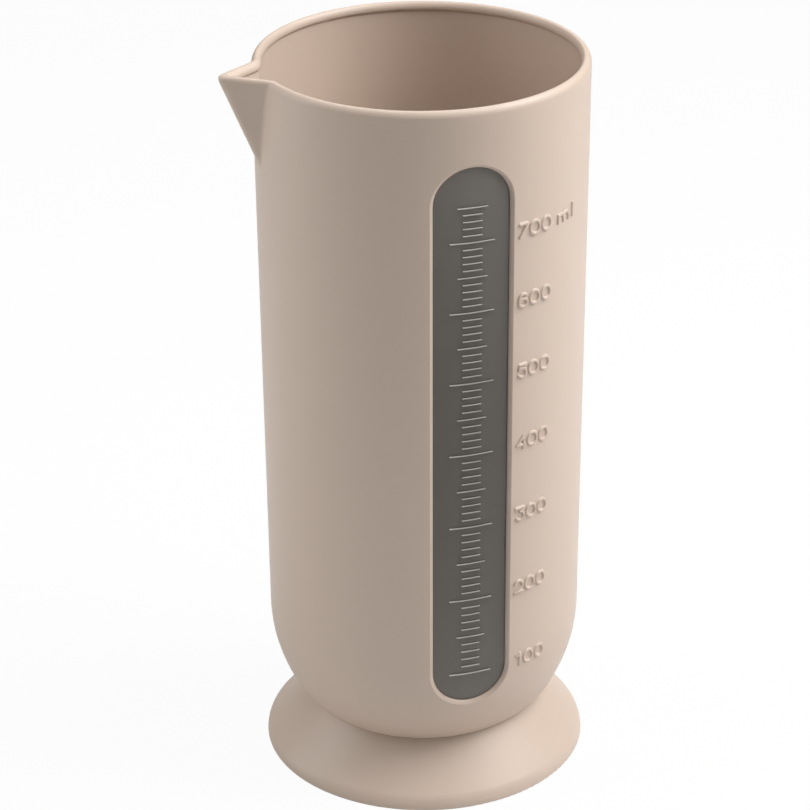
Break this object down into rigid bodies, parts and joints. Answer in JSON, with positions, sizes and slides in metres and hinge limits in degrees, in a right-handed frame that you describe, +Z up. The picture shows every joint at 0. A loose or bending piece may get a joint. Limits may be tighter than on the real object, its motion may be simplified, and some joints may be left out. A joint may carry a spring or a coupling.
{
  "type": "measuring jug",
  "caption": "Tall round plastic measuring jug with a pouring spout, a see-through level window with raised millilitre graduations, and a hollow flared foot.",
  "frame": {"origin": "on the cup's axis, in the plane that the foot's sole rests on", "axes": "+Z up along the cup's axis, -X towards the spout's tip, -Y out through the middle of the level window"},
  "size_m": [0.0958, 0.087, 0.197],
  "materials": {
    "beige_plastic": "satin, warm beige",
    "smoke_window": "smoke-grey translucent, glossy"
  },
  "bodies": {
    "root": {"cup_body": "beige_plastic", "level_window": "smoke_window", "foot_skirt": "beige_plastic"}
  },
  "joints": []
}
